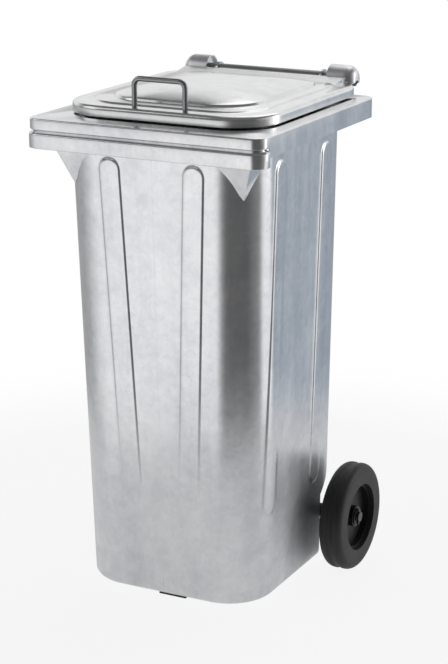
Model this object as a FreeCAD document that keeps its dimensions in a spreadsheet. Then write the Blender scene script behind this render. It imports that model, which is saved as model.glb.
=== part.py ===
import FreeCAD, Part
import math
import os
import Sketcher
from FreeCAD import Placement, Rotation, Vector

# A two-wheeled galvanised steel waste bin with a hinged lid. Millimetres, +Z up.
# The floor is z = 0, the bin's left-right middle is x = 0 and its front faces -Y.
# The origin lies under the middle of the whole, from the band's front to the hoods' back.

doc = FreeCAD.newDocument("WheeledBin")
sheet = doc.addObject("Spreadsheet::Sheet", "Sizes")

DRIVING_SIZES = [
    # rim collar
    ("collarWidth", 480, "outside width of the rim collar"),
    ("collarDepth", 506, "outside depth of the rim collar"),
    ("collarCorner", 25, "outside corner radius of the rim collar"),
    ("rimHeight", 938, "top face of the rim collar above the floor"),
    ("skirtDrop", 38, "height of the collar's outer skirt"),
    ("sheet", 1.25, "sheet thickness of the collar, band and body"),
    ("mouthSideSetback", 45.5, "from the collar's sides in to its opening"),
    ("mouthSetback", 66, "from the collar's front face to the opening"),
    ("mouthRearSetback", 35, "from the collar's rear face to the opening"),
    ("mouthCorner", 70, "corner radius of that opening"),
    ("mouthLip", 8, "height of the turned-up edge round the opening"),
    # front band
    ("bandTop", 24, "from the rim's top down to the front groove"),
    ("grooveHeight", 8, "height of the front groove"),
    ("grooveDepth", 5, "depth of the front groove"),
    ("bandLip", 23, "height of the lower lip of the front band"),
    ("bandProud", 2.5, "how far the lower lip stands in front of the collar"),
    ("bandTail", 8, "how far the band runs on along the side past the corner"),
    ("bandReturn", 12, "width of the flange under the band"),
    # tapered body
    ("bodyTopSideSetback", 37.5, "from the collar's sides in to the body at its top"),
    ("bodyTopRearSetback", 27, "from the collar's rear face to the body at its top"),
    ("bodyTopCorner", 88, "corner radius of the body under the collar"),
    ("bodyTopSetback", 37, "from the collar's front face to the body at its top"),
    ("bodyBaseSideSetback", 51, "from the collar's sides in to the body at its base"),
    ("bodyBaseRearSetback", 34, "from the collar's rear face to the body at its base"),
    ("bodyBaseCorner", 92, "corner radius of the body at its base"),
    ("bodyBaseSetback", 66, "from the collar's front face to the body at its base"),
    ("groundGap", 17, "clear height under the base"),
    ("baseRound", 14, "rounding between the base and the walls"),
    ("panHeight", 34, "height of the base pan's upturned wall"),
    # pressed beads
    ("beadWidth", 47, "width of a pressed bead"),
    ("beadHeight", 5, "how far a bead stands out of the wall"),
    ("beadRoot", 90, "how far in from the collar's outside the beads' forms reach"),
    ("beadTopGap", 65, "from the rim's top down to the beads' upper ends"),
    ("frontBeadFoot", 222, "height of the front beads' lower ends"),
    ("rearBeadFoot", 272, "height of the rear beads' lower ends"),
    ("crossBeadTopPitch", 173, "distance of the front and rear beads at their tops"),
    ("crossBeadFootPitch", 124, "distance of the front and rear beads at their feet"),
    ("sideBeadFoot", 188, "height of the side beads' lower ends"),
    ("sideBeadPitch", 198, "distance between the two side beads' middles"),
    ("sideBeadSetback", 261, "from the collar's front to the middle of the side beads"),
    ("sideBeadLean", 22, "how far the side beads lean forward at their lower ends"),
    # corner gussets
    ("gussetWing", 77, "how far a gusset spreads along each wall"),
    ("gussetTuck", 27, "how far a gusset's point lies in from its upper corner"),
    ("gussetDrop", 71, "height of a gusset"),
    ("gussetSheet", 1.5, "sheet thickness of a gusset"),
    # recess for the axle
    ("recessDepth", 98, "from the base's rear edge forward to the recess wall"),
    ("recessWall", 150, "height of the recess's upright wall"),
    ("recessRise", 90, "rise of the recess's sloping roof to the rear wall"),
    # lid
    ("lidSideSetback", 31, "from the collar's sides in to the lid"),
    ("lidRearSetback", 2, "from the collar's rear face to the lid's rear"),
    ("lidCorner", 44, "corner radius of the lid"),
    ("lidEdge", 3, "rounding of the lid's upper edge"),
    ("lidRingCorner", 32, "corner radius of the steps in the lid"),
    ("lidSetback", 52, "from the collar's front face to the lid's front"),
    ("lidSeatGap", 0.3, "gap between the lid's skirt and the rim"),
    ("lidSkirt", 23, "height of the lid's skirt"),
    ("lidSheet", 1.25, "sheet thickness of the lid"),
    ("outerStepInset", 31, "from the lid's edge in to the outer step"),
    ("outerStepRise", 2, "rise of the outer step"),
    ("innerStepInset", 58, "from the lid's edge in to the inner step"),
    ("innerStepRise", 5, "rise of the inner step"),
    ("stepRun", 4, "width of each step's slope"),
    ("crownRise", 14, "rise of the lid's crowned middle above the inner step"),
    ("crownInset", 165, "from the lid's edge in to the flat of the crown"),
    ("hingeRampWidth", 350, "width of the ramp along the lid's hinge edge"),
    ("hingeRampRun", 58, "length of that ramp"),
    ("hingeRampRise", 9, "rise of that ramp"),
    ("hingeRampFlat", 8, "flat along the top of that ramp"),
    # lid handle
    ("handleWidth", 104, "distance between the handle's legs"),
    ("handleHeight", 52, "height of the handle's grip above the lid"),
    ("handleRod", 10, "diameter of the handle's rod"),
    ("handleBend", 12, "bend radius of the handle's rod"),
    ("handleInset", 24, "from the lid's front edge in to the handle"),
    # hinge
    ("hingeBehind", 27, "from the collar's rear face back to the hinge axis"),
    ("hingeRise", 24, "height of the hinge axis above the rim"),
    ("barDiameter", 25, "outside diameter of the hinge bar"),
    ("barWall", 2.5, "wall of the hinge bar"),
    ("hoodRadius", 28, "outside radius of a hood round the hinge axis"),
    ("hoodSheet", 2, "sheet thickness of a hood"),
    ("hoodInner", 133, "from the middle to a hood's open end"),
    ("hoodOuter", 188, "from the middle to a hood's closed end"),
    ("hoodRound", 20, "rounding of a hood's closed end"),
    ("hoodFrontAngle", 200, "where a hood starts, from the rear round over the top"),
    ("hoodRearAngle", -25, "where a hood ends, from the rear round over the top"),
    ("hoodTabWidth", 30, "width of the tab that joins a hood to the lid"),
    ("hoodTabBelow", 18, "how far that tab reaches under the hinge axis"),
    ("hoodTabAbove", 5, "how far that tab reaches over the hinge axis"),
    ("lugThickness", 4, "thickness of a hinge lug"),
    ("lugInset", 7, "from a hood's open end in to its first lug"),
    ("lugPitch", 22, "distance between the two lugs of a hood"),
    ("lugBelow", 16, "how far a lug reaches under the hinge axis"),
    ("barClearance", 0.1, "running clearance round the hinge bar"),
    ("barEndGap", 2, "gap between a bar cap and the hood's closed end"),
    ("capThickness", 1.5, "thickness of a bar cap"),
    ("capSpigot", 8, "length of a bar cap's spigot"),
    ("bracketPlace", 115, "from the middle to a bar bracket"),
    ("bracketThickness", 5, "thickness of a bar bracket"),
    ("bracketRing", 4, "wall of a bracket round the bar"),
    ("bracketFoot", 32, "height of a bracket's foot on the collar's skirt"),
    ("bracketNeck", 18, "depth of a bracket's neck behind the collar"),
    ("bracketToe", 6, "depth of a bracket's lower end behind the collar"),
    # wheels and axle
    ("wheelDiameter", 215, "diameter of a wheel"),
    ("wheelWidth", 48, "width of a tyre"),
    ("wheelTrack", 492, "distance between the middles of the wheels"),
    ("wheelAhead", 109, "from the collar's rear face forward to the axle"),
    ("tyreShoulder", 9, "rounding of a tyre's shoulder"),
    ("treadGroove", 2, "depth of the groove in the tread"),
    ("treadGrooveWidth", 10, "width of the groove in the tread"),
    ("discDiameter", 134, "diameter of a wheel's disc"),
    ("discWidth", 30, "width of the disc's rim"),
    ("discWeb", 6, "thickness of the disc's web"),
    ("discRimWall", 6, "wall of the disc's rim"),
    ("hubDiameter", 42, "diameter of the hub"),
    ("hubWidth", 28, "width of the hub"),
    ("bushWall", 3, "wall of the wheel's bush"),
    ("axleDiameter", 20, "diameter of the axle"),
    ("axleClearance", 0.1, "running clearance round the axle"),
    ("axleStub", 4, "from an axle pin to the axle's end"),
    ("washerThickness", 2.5, "thickness of an axle washer"),
    ("washerDiameter", 34, "diameter of an axle washer"),
    ("washerPlay", 0.3, "side play between a hub and its washer"),
    ("pinDiameter", 4, "diameter of an axle pin"),
    ("pinLength", 32, "length of an axle pin"),
    ("axleBracketPlace", 150, "from the middle to an axle bracket"),
    ("axleBracketThickness", 6, "thickness of an axle bracket"),
    ("axleBracketRing", 12, "steel round the axle in a bracket"),
    ("axleBracketFoot", 40, "how far a bracket reaches down the recess wall"),
    ("axleBracketRun", 84, "how far a bracket reaches back along the recess roof"),
    ("spacerDiameter", 28, "diameter of the spacer tubes on the axle"),
    # front foot
    ("footWidth", 58, "width of the rubber foot"),
    ("footDepth", 32, "depth of the rubber foot"),
    ("footSetback", 36, "from the base's front edge back to the foot"),
    ("footChamfer", 3, "chamfer round the foot's tread"),
    ("screwDiameter", 6, "diameter of a foot screw"),
    ("screwPitch", 32, "distance between the two foot screws"),
    ("screwHead", 11, "diameter of a foot screw's head"),
    ("screwHeadHeight", 4, "height of a foot screw's head"),
    ("screwDepth", 12, "how far a foot screw reaches into the foot"),
]

for number, (alias, value, note) in enumerate(DRIVING_SIZES, 1):
    sheet.set("A%d" % number, note)
    sheet.set("B%d" % number, str(value))
    sheet.setAlias("B%d" % number, alias)
doc.recompute()

# Places that several pieces share, as expressions on the sheet
REACH = "(Sizes.collarDepth + Sizes.hingeBehind + Sizes.hoodRadius)"
FRONT = "(-(%s - Sizes.bandProud) / 2)" % REACH
COLLAR_REAR = "(%s + Sizes.collarDepth)" % FRONT
COLLAR_MIDDLE = "(%s + Sizes.collarDepth / 2)" % FRONT


def span(name):
    """Width, depth and middle of what is set in from the collar by its own setbacks."""
    across = "(Sizes.collarWidth - 2 * Sizes.%sSideSetback)" % name
    along = "(Sizes.collarDepth - Sizes.%sSetback - Sizes.%sRearSetback)" % (name, name)
    return across, along, "(%s + Sizes.%sSetback + %s / 2)" % (FRONT, name, along)


BODY_TOP_WIDTH, BODY_TOP_DEPTH, BODY_TOP_MIDDLE = span("bodyTop")
BODY_BASE_WIDTH, BODY_BASE_DEPTH, BODY_BASE_MIDDLE = span("bodyBase")
MOUTH_WIDTH, MOUTH_DEPTH, MOUTH_MIDDLE = span("mouth")
LID_WIDTH, LID_DEPTH, LID_MIDDLE = span("lid")
BODY_BASE_REAR = "(%s - Sizes.bodyBaseRearSetback)" % COLLAR_REAR
LID_REAR = "(%s - Sizes.lidRearSetback)" % COLLAR_REAR
LID_FLOOR = "(Sizes.rimHeight + Sizes.lidSeatGap)"
LID_TOP = "(%s + Sizes.lidSkirt)" % LID_FLOOR
HINGE_Y = "(%s + Sizes.hingeBehind)" % COLLAR_REAR
HINGE_Z = "(Sizes.rimHeight + Sizes.hingeRise)"
AXLE_Y = "(%s - Sizes.wheelAhead)" % COLLAR_REAR
AXLE_Z = "(Sizes.wheelDiameter / 2)"
RECESS_Y = "(%s - Sizes.recessDepth)" % BODY_BASE_REAR
GROOVE_TOP = "(Sizes.rimHeight - Sizes.bandTop)"
GROOVE_FOOT = "(%s - Sizes.grooveHeight)" % GROOVE_TOP
BAND_FOOT = "(%s - Sizes.bandLip)" % GROOVE_FOOT
BAND_END = "(%s + Sizes.collarCorner + Sizes.bandTail)" % FRONT
nodes = []


def value(expression):
    """The present value of an expression on the sheet, in millimetres or degrees."""
    return float(sheet.evalExpression(str(expression)))


def bind(feature, **expressions):
    """Tie properties of a feature to the sheet. A double underscore stands for a dot."""
    for name, expression in expressions.items():
        feature.setExpression(name.replace("__", "."), str(expression))


def place(feature, x="0", y="0", z="0"):
    """Tie a feature's place to the sheet."""
    bind(feature, Placement__Base__x=x, Placement__Base__y=y, Placement__Base__z=z)
    return feature


def node(feature, label):
    """Give a finished sub-part its name and put it on the list of nodes."""
    feature.Label = label
    nodes.append(feature)
    return feature


def dimension(sketch, name, constraint, expression):
    """Add a driving constraint and tie it to the sheet."""
    index = sketch.addConstraint(constraint)
    sketch.renameConstraint(index, name)
    sketch.setExpression("Constraints." + name, str(expression))


def rounded_outline(sketch, width, depth, corner):
    """A rectangle with round corners about the sketch's own origin."""
    w, d, r = value(width) / 2, value(depth) / 2, value(corner)
    front = Part.LineSegment(Vector(r - w, -d, 0), Vector(w - r, -d, 0))
    right = Part.LineSegment(Vector(w, r - d, 0), Vector(w, d - r, 0))
    rear = Part.LineSegment(Vector(w - r, d, 0), Vector(r - w, d, 0))
    left = Part.LineSegment(Vector(-w, d - r, 0), Vector(-w, r - d, 0))
    sides = [front, right, rear, left]
    centers = [(w - r, r - d), (w - r, d - r), (r - w, d - r), (r - w, r - d)]
    for turn, (side, center) in enumerate(zip(sides, centers)):
        start = (turn - 1) * math.pi / 2
        circle = Part.Circle(Vector(center[0], center[1], 0), Vector(0, 0, 1), r)
        sketch.addGeometry(side)
        sketch.addGeometry(Part.ArcOfCircle(circle, start, start + math.pi / 2))
    for turn in range(4):
        line, arc, following = 2 * turn, 2 * turn + 1, (2 * turn + 2) % 8
        sketch.addConstraint(Sketcher.Constraint("Tangent", line, 2, arc, 1))
        sketch.addConstraint(Sketcher.Constraint("Tangent", arc, 2, following, 1))
        if turn:
            sketch.addConstraint(Sketcher.Constraint("Equal", 1, arc))
    sketch.addConstraint(Sketcher.Constraint("Symmetric", 0, 1, 0, 2, -2))
    sketch.addConstraint(Sketcher.Constraint("Symmetric", 2, 1, 2, 2, -1))
    sketch.addConstraint(Sketcher.Constraint("Horizontal", 4))
    sketch.addConstraint(Sketcher.Constraint("Vertical", 6))
    dimension(sketch, "width", Sketcher.Constraint("DistanceX", 6, 1, 2, 2, 2 * w), width)
    dimension(sketch, "depth", Sketcher.Constraint("DistanceY", 0, 1, 4, 2, 2 * d), depth)
    dimension(sketch, "corner", Sketcher.Constraint("Radius", 1, r), corner)


def polygon(sketch, corners):
    """A closed outline through corners, each a pair of expressions."""
    points = [Vector(value(u), value(v), 0) for u, v in corners]
    for index, point in enumerate(points):
        sketch.addGeometry(Part.LineSegment(point, points[(index + 1) % len(points)]))
    for index in range(len(points)):
        following = (index + 1) % len(points)
        sketch.addConstraint(Sketcher.Constraint("Coincident", index, 2, following, 1))
    for index, (u, v) in enumerate(corners):
        for axis, expression in (("X", u), ("Y", v)):
            pin(sketch, index, 1, axis, expression, "corner%d%s" % (index, axis))


def pin(sketch, element, end, axis, expression, name):
    """Hold one coordinate of a point at the value of an expression, of either sign."""
    amount = value(expression)
    kind = "Distance" + axis
    if amount < 0:
        constraint = Sketcher.Constraint(kind, element, end, -1, 1, -amount)
        dimension(sketch, name, constraint, "-(%s)" % expression)
    else:
        constraint = Sketcher.Constraint(kind, -1, 1, element, end, amount)
        dimension(sketch, name, constraint, expression)


def slot(sketch, name, top, foot, radius):
    """A slot between two centres, each a pair of expressions."""
    upper = Vector(value(top[0]), value(top[1]), 0)
    lower = Vector(value(foot[0]), value(foot[1]), 0)
    r = value(radius)
    lean = math.atan2(upper.y - lower.y, upper.x - lower.x)
    side = Vector(-math.sin(lean), math.cos(lean), 0) * r
    first = sketch.GeometryCount
    axis = Vector(0, 0, 1)
    up, down = lean - math.pi / 2, lean + math.pi / 2
    sketch.addGeometry(Part.ArcOfCircle(Part.Circle(upper, axis, r), up, up + math.pi))
    sketch.addGeometry(Part.LineSegment(upper + side, lower + side))
    sketch.addGeometry(Part.ArcOfCircle(Part.Circle(lower, axis, r), down, down + math.pi))
    sketch.addGeometry(Part.LineSegment(lower - side, upper - side))
    for index in range(4):
        following = first + (index + 1) % 4
        sketch.addConstraint(Sketcher.Constraint("Tangent", first + index, 2, following, 1))
    sketch.addConstraint(Sketcher.Constraint("Equal", first, first + 2))
    for center, element, label in ((top, first, "Top"), (foot, first + 2, "Foot")):
        for axis_name, expression in zip("XY", center):
            pin(sketch, element, 3, axis_name, expression, name + label + axis_name)
    dimension(sketch, name + "Radius", Sketcher.Constraint("Radius", first, r), radius)


def free_sketch(name, x="0", y="0", z="0", rotation=Rotation()):
    """A sketch for a Part feature. It lies flat unless it is turned."""
    sketch = doc.addObject("Sketcher::SketchObject", name)
    sketch.Placement = Placement(Vector(value(x), value(y), value(z)), rotation)
    return place(sketch, x, y, z)


UPRIGHT_ACROSS = Rotation(Vector(1, 0, 0), 90)      # sketch X is x, sketch Y is z
UPRIGHT_ALONG = Rotation(Vector(1, 1, 1), 120)      # sketch X is y, sketch Y is z


def section(name, width, depth, corner, y, z):
    sketch = free_sketch(name, "0", y, z)
    rounded_outline(sketch, width, depth, corner)
    return sketch


def loft(name, sections):
    feature = doc.addObject("Part::Loft", name)
    feature.Sections = sections
    feature.Solid = True
    feature.Ruled = True
    return feature


def extrusion(name, sketch, direction, length):
    feature = doc.addObject("Part::Extrusion", name)
    feature.Base = sketch
    feature.DirMode = "Custom"
    feature.Dir = direction
    feature.Solid = True
    bind(feature, LengthFwd=length)
    return feature


def slab(name, width, depth, corner, y, bottom, top):
    """An upright prism with a round-cornered outline."""
    outline = section(name + "Outline", width, depth, corner, y, bottom)
    return extrusion(name, outline, Vector(0, 0, 1), "(%s) - (%s)" % (top, bottom))


def bar_along_x(name, corners, x, length):
    """A prism along X through a polygon in y and z."""
    sketch = free_sketch(name + "Outline", x, "0", "0", UPRIGHT_ALONG)
    polygon(sketch, corners)
    return extrusion(name, sketch, Vector(1, 0, 0), length)


def block(name, x, y, z, length, width, height):
    feature = doc.addObject("Part::Box", name)
    bind(feature, Length=length, Width=width, Height=height)
    return place(feature, x, y, z)


def round_bar(name, radius, length, x, y, z, direction=Vector(1, 0, 0)):
    """A cylinder that starts at x, y, z and runs along a direction."""
    feature = doc.addObject("Part::Cylinder", name)
    feature.Placement = Placement(Vector(), Rotation(Vector(0, 0, 1), direction))
    bind(feature, Radius=radius, Height=length)
    return place(feature, x, y, z)


def cut(name, base, tool):
    feature = doc.addObject("Part::Cut", name)
    feature.Base = base
    feature.Tool = tool
    return feature


def common(name, base, tool):
    feature = doc.addObject("Part::Common", name)
    feature.Base = base
    feature.Tool = tool
    return feature


def fuse(name, pieces):
    feature = doc.addObject("Part::MultiFuse", name)
    feature.Shapes = pieces
    return feature


def mirrored(label, source):
    """The left-hand copy of a right-hand piece."""
    feature = doc.addObject("Part::Mirroring", label)
    feature.Source = source
    feature.Normal = Vector(1, 0, 0)
    return node(feature, label)


def new_body(label):
    body = doc.addObject("PartDesign::Body", label)
    return node(body, label)


def body_sketch(body, role, name, x="0", y="0", z="0"):
    """A sketch on one of a body's origin planes, moved within the plane's own axes."""
    plane = [f for f in body.Origin.OriginFeatures if f.Role == role][0]
    sketch = body.newObject("Sketcher::SketchObject", name)
    sketch.AttachmentSupport = [(plane, "")]
    sketch.MapMode = "FlatFace"
    bind(sketch, AttachmentOffset__Base__x=x, AttachmentOffset__Base__y=y,
         AttachmentOffset__Base__z=z)
    return sketch


def turned(body, name, corners, angle="360"):
    """Turn a polygon in x and radius about the body's X axis."""
    sketch = body_sketch(body, "XY_Plane", name + "Profile")
    polygon(sketch, corners)
    feature = body.newObject("PartDesign::Revolution", name)
    feature.Profile = sketch
    feature.ReferenceAxis = (sketch, ["H_Axis"])
    bind(feature, Angle=angle)
    return feature


def body_outlines(prefix, inset, lift):
    """Sections of the tapered body, rounded at the base, inset from its outside."""
    width = BODY_BASE_WIDTH + " - 2 * (%s)"
    depth = BODY_BASE_DEPTH + " - 2 * (%s)"
    corner = "Sizes.bodyBaseCorner - (%s)"
    shoulder = 1 - math.sqrt(0.5)                     # the middle of the rounding
    sections = []
    for step, (inward, upward) in enumerate(((1, 0), (shoulder, shoulder), (0, 1))):
        inner = "((%s) + Sizes.baseRound * %.4f)" % (inset, inward)
        level = "Sizes.groundGap + (%s) + Sizes.baseRound * %.4f" % (lift, upward)
        sections.append(section("%sBase%d" % (prefix, step), width % inner, depth % inner,
                                corner % inner, BODY_BASE_MIDDLE, level))
    sections.append(section(prefix + "Top", "%s - 2 * (%s)" % (BODY_TOP_WIDTH, inset),
                            "%s - 2 * (%s)" % (BODY_TOP_DEPTH, inset),
                            "Sizes.bodyTopCorner - (%s)" % inset,
                            BODY_TOP_MIDDLE, "Sizes.rimHeight - Sizes.sheet"))
    return sections


def cross_beads(prefix, radius, start, foot):
    """Two leaning slots side by side, run back from a start into the body."""
    top = "Sizes.rimHeight - Sizes.beadTopGap - Sizes.beadWidth / 2"
    sketch = free_sketch(prefix + "Outline", "0", start, "0", UPRIGHT_ACROSS)
    for name, sign in (("right", "1"), ("left", "-1")):
        slot(sketch, name, (sign + " * Sizes.crossBeadTopPitch / 2", top),
             (sign + " * Sizes.crossBeadFootPitch / 2", foot + " + Sizes.beadWidth / 2"),
             radius)
    return extrusion(prefix, sketch, Vector(0, 1, 0), "Sizes.beadRoot")


def side_beads(prefix, radius, start):
    """Two leaning slots one behind the other, run to the right from a start."""
    top = "Sizes.rimHeight - Sizes.beadTopGap - Sizes.beadWidth / 2"
    sketch = free_sketch(prefix + "Outline", start, FRONT + " + Sizes.sideBeadSetback", "0",
                         UPRIGHT_ALONG)
    for name, sign in (("rear", "1"), ("front", "-1")):
        middle = sign + " * Sizes.sideBeadPitch / 2"
        slot(sketch, name, (middle, top),
             (middle + " - Sizes.sideBeadLean", "Sizes.sideBeadFoot + Sizes.beadWidth / 2"),
             radius)
    return extrusion(prefix, sketch, Vector(1, 0, 0), "Sizes.beadRoot")


def beaded(prefix, inset):
    """The body's solid form with its beads, inset from the outside by a thickness."""
    plain = loft(prefix + "Loft", body_outlines(prefix, inset, inset))
    swell = "%s - Sizes.beadHeight" % inset
    grown = loft(prefix + "Swell", body_outlines(prefix + "Swell", swell, swell))
    radius = "Sizes.beadWidth / 2 - %s" % inset
    prisms = [
        cross_beads(prefix + "FrontBeads", radius, FRONT, "Sizes.frontBeadFoot"),
        cross_beads(prefix + "RearBeads", radius, COLLAR_REAR + " - Sizes.beadRoot",
                    "Sizes.rearBeadFoot"),
        side_beads(prefix + "LeftBeads", radius, "-Sizes.collarWidth / 2"),
        side_beads(prefix + "RightBeads", radius, "Sizes.collarWidth / 2 - Sizes.beadRoot")]
    beads = [common("%sBeads%d" % (prefix, number), grown, prism)
             for number, prism in enumerate(prisms)]
    return fuse(prefix + "Form", [plain] + beads)


outside = beaded("Outside", "0")
inside = beaded("Inside", "Sizes.sheet")
tub = cut("Tub", outside, inside)

# The recess for the axle, cut out of the lower rear and closed by a folded panel
RECESS_FAR = BODY_BASE_REAR + " + Sizes.recessDepth"
recess_corners = [(RECESS_Y, "0"), (RECESS_Y, "Sizes.recessWall"),
                  (RECESS_FAR, "Sizes.recessWall + 2 * Sizes.recessRise"), (RECESS_FAR, "0")]
recess_form = bar_along_x("RecessForm", recess_corners, "-Sizes.collarWidth / 2",
                          "Sizes.collarWidth")
hull = cut("OpenedTub", tub, recess_form)
raised_corners = [(y + " - Sizes.sheet", z + " + Sizes.sheet") for y, z in recess_corners]
raised_form = bar_along_x("RaisedRecess", raised_corners, "-Sizes.collarWidth / 2",
                          "Sizes.collarWidth")
recess_sheet = cut("RecessSheet", raised_form, recess_form)
node(common("RecessPanel", recess_sheet, inside), "wheel_recess_panel")


def zone(name, x, bottom, top, rear=None):
    """A block from one side as far as the middle, or across both, that picks out a piece."""
    width = "Sizes.collarWidth" if x == "both" else "Sizes.collarWidth / 2"
    start = "0" if x == "right" else "-Sizes.collarWidth / 2"
    reach = "(%s) - (%s)" % (rear, FRONT) if rear else "Sizes.collarDepth"
    return block(name, start, FRONT, bottom, width, reach, "(%s) - (%s)" % (top, bottom))


PAN_TOP = "(Sizes.groundGap + Sizes.panHeight)"
for side in ("right", "left"):
    half = zone("Zone" + side, side, PAN_TOP, "Sizes.rimHeight")
    node(common("Panel" + side, hull, half), "body_panel_" + side)

# Foot and its screws. The screws run down through the base into the foot.
FOOT_Y = "(%s + Sizes.bodyBaseSetback + Sizes.footSetback)" % FRONT
SCREW_FOOT = "(Sizes.groundGap - Sizes.screwDepth)"


def screw_shanks(name):
    """Both foot screws' shanks, as a tool for their holes."""
    shanks = []
    for side, sign in (("Right", "1"), ("Left", "-1")):
        x = sign + " * Sizes.screwPitch / 2"
        shanks.append(round_bar(name + side, "Sizes.screwDiameter / 2",
                                "Sizes.screwDepth + Sizes.sheet", x,
                                FOOT_Y + " + Sizes.footDepth / 2", SCREW_FOOT,
                                Vector(0, 0, 1)))
    return shanks


pan_zone = zone("ZonePan", "both", "0", PAN_TOP)
pan = common("PanForm", hull, pan_zone)
node(cut("BasePan", pan, fuse("PanHoles", screw_shanks("PanHole"))), "base_pan")

foot_block = block("FootBlock", "-Sizes.footWidth / 2", FOOT_Y, "0", "Sizes.footWidth",
                   "Sizes.footDepth", "Sizes.groundGap")
node(cut("Foot", foot_block, fuse("FootHoles", screw_shanks("FootHole"))), "front_foot")
shank_right = screw_shanks("Screw")[0]
head_right = round_bar("ScrewHead", "Sizes.screwHead / 2", "Sizes.screwHeadHeight",
                       "Sizes.screwPitch / 2", FOOT_Y + " + Sizes.footDepth / 2",
                       "Sizes.groundGap + Sizes.sheet", Vector(0, 0, 1))
screw = node(fuse("FootScrew", [shank_right, head_right]), "foot_screw_right")
mirrored("foot_screw_left", screw)


def collar_slab(name, inset, bottom, top):
    """A prism under the collar's outline, inset from it."""
    return slab(name, "Sizes.collarWidth - 2 * (%s)" % inset,
                "Sizes.collarDepth - 2 * (%s)" % inset,
                "Sizes.collarCorner - (%s)" % inset, COLLAR_MIDDLE, bottom, top)


# Rim collar: a skirt, a flat top and a turned-up edge round the mouth
SKIRT_FOOT = "(Sizes.rimHeight - Sizes.skirtDrop)"
LIP_TOP = "(Sizes.rimHeight + Sizes.mouthLip)"
rim_outer = collar_slab("RimOuter", "0", SKIRT_FOOT, "Sizes.rimHeight")
rim_hollow = collar_slab("RimHollow", "Sizes.sheet", SKIRT_FOOT, "Sizes.rimHeight - Sizes.sheet")
lip = slab("MouthEdge", MOUTH_WIDTH + " + 2 * Sizes.sheet",
           MOUTH_DEPTH + " + 2 * Sizes.sheet", "Sizes.mouthCorner + Sizes.sheet",
           MOUTH_MIDDLE, "Sizes.rimHeight - Sizes.sheet", LIP_TOP)
mouth = slab("Mouth", MOUTH_WIDTH, MOUTH_DEPTH, "Sizes.mouthCorner",
             MOUTH_MIDDLE, SKIRT_FOOT, LIP_TOP)
band_room = zone("BandRoom", "both", SKIRT_FOOT, GROOVE_TOP, BAND_END)
rim_cuts = fuse("RimCuts", [rim_hollow, mouth, band_room])
node(cut("Rim", fuse("RimForm", [rim_outer, lip]), rim_cuts), "rim_collar")

# Front band: a shelf, a groove and a proud lip that wraps the front corners
band_form = fuse("BandForm", [
    collar_slab("BandLipOuter", "0 - Sizes.bandProud", BAND_FOOT, GROOVE_FOOT),
    collar_slab("BandGrooveOuter", "Sizes.grooveDepth", GROOVE_FOOT, GROOVE_TOP),
    collar_slab("BandShelf", "0", GROOVE_TOP + " - Sizes.sheet", GROOVE_TOP)])
band_hollow = fuse("BandHollow", [
    collar_slab("BandLipInner", "Sizes.sheet - Sizes.bandProud", BAND_FOOT + " + Sizes.sheet",
                GROOVE_FOOT + " - Sizes.sheet"),
    collar_slab("BandGrooveInner", "Sizes.grooveDepth + Sizes.sheet",
                BAND_FOOT + " + Sizes.sheet", GROOVE_TOP),
    collar_slab("BandReturn", "Sizes.bandReturn - Sizes.bandProud", BAND_FOOT,
                BAND_FOOT + " + Sizes.sheet")])
band_zone = block("BandZone", "-Sizes.collarWidth", FRONT + " - Sizes.collarCorner",
                  BAND_FOOT, "2 * Sizes.collarWidth",
                  "2 * Sizes.collarCorner + Sizes.bandTail", "Sizes.rimHeight")
node(common("Band", cut("BandRing", band_form, band_hollow), band_zone), "front_band")

# Corner gussets: a sheet folded about the line from its outer corner down to its point
GUSSET_X = "(%s / 2)" % BODY_TOP_WIDTH
GUSSET_Y = "(%s + Sizes.bodyTopSetback)" % FRONT
GUSSET_FOOT = "(%s - Sizes.gussetDrop)" % BAND_FOOT


def gusset_form(name, inset, reach):
    """A three-sided spike that hangs under the band at the right front corner."""
    sections = []
    for part, level, wing, tuck in (("Point", GUSSET_FOOT, "1", "Sizes.gussetTuck"),
                                    ("Top", BAND_FOOT, "Sizes.gussetWing", "0")):
        x = "%s - %s - (%s)" % (GUSSET_X, inset, tuck)
        y = "%s + %s + (%s)" % (GUSSET_Y, inset, tuck)
        sketch = free_sketch(name + part, "0", "0", level)
        polygon(sketch, [(x, y), ("%s - %s - %s" % (x, wing, reach), y),
                         (x, "%s + %s + %s" % (y, wing, reach))])
        sections.append(sketch)
    return loft(name, sections)


gusset_outer = gusset_form("GussetOuter", "0", "0")
gusset_inner = gusset_form("GussetInner", "Sizes.gussetSheet", "Sizes.collarCorner")
gusset_tools = fuse("GussetTools", [gusset_inner, outside])
gusset = node(cut("Gusset", gusset_outer, gusset_tools), "corner_gusset_right")
mirrored("corner_gusset_left", gusset)


def lid_levels():
    """Inset and height of each ring of the lid, from the skirt's foot to the crown."""
    step_one = LID_TOP + " + Sizes.outerStepRise"
    step_two = step_one + " + Sizes.innerStepRise"
    edge = "Sizes.lidEdge"
    inner = "Sizes.innerStepInset + Sizes.stepRun"
    rings = [("0", LID_FLOOR), ("0", "%s - %s" % (LID_TOP, edge)),
             ("0.3 * " + edge, "%s - 0.3 * %s" % (LID_TOP, edge)), (edge, LID_TOP),
             ("Sizes.outerStepInset", LID_TOP),
             ("Sizes.outerStepInset + Sizes.stepRun", step_one),
             ("Sizes.innerStepInset", step_one), (inner, step_two)]
    for share in (0.25, 0.5, 0.75, 1):
        inset = "(1 - %r) * (%s) + %r * Sizes.crownInset" % (share, inner, share)
        rise = 1 - (1 - share) ** 2                    # steepest at the inner step
        rings.append((inset, "%s + %r * Sizes.crownRise" % (step_two, rise)))
    return rings


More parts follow.
